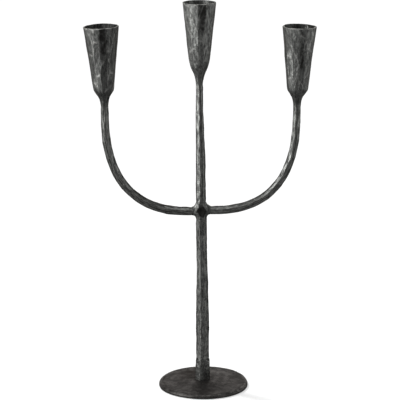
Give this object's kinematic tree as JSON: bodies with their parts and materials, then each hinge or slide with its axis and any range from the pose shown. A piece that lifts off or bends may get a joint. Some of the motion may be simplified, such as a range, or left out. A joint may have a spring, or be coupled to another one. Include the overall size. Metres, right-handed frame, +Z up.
{
  "type": "candelabrum",
  "caption": "Free-standing table candelabrum of hammered black iron: round dished base, tapered stem with a forged cross, curved side arms and tall flared candle cups.",
  "frame": {"origin": "middle of the round base, on the surface it stands on", "axes": "+Z up the stem, +X along the arms towards the right cup, -Y towards the viewer"},
  "size_m": [0.2783, 0.1104, 0.48],
  "materials": {
    "blackened_iron": "hand-hammered, blackened and waxed",
    "base_iron": "hand-hammered, brown-black, waxed",
    "cup_iron": "planished in tall facets, blackened, worn bright on the ridges",
    "zinc_steel": "zinc plated",
    "black_felt": "pressed felt"
  },
  "bodies": {
    "root": {"base_felt": "black_felt", "base_plate": "base_iron", "base_washer": "zinc_steel", "base_screw": "zinc_steel", "foot_collar": "blackened_iron", "stem_lower": "blackened_iron", "cross_boss": "blackened_iron", "cross_stud": "zinc_steel", "stem_upper": "blackened_iron", "arm_left": "blackened_iron", "arm_right": "blackened_iron", "cup_left": "cup_iron", "cup_stud_left": "zinc_steel", "cup_centre": "cup_iron", "cup_stud_centre": "zinc_steel", "cup_right": "cup_iron", "cup_stud_right": "zinc_steel"}
  },
  "joints": []
}
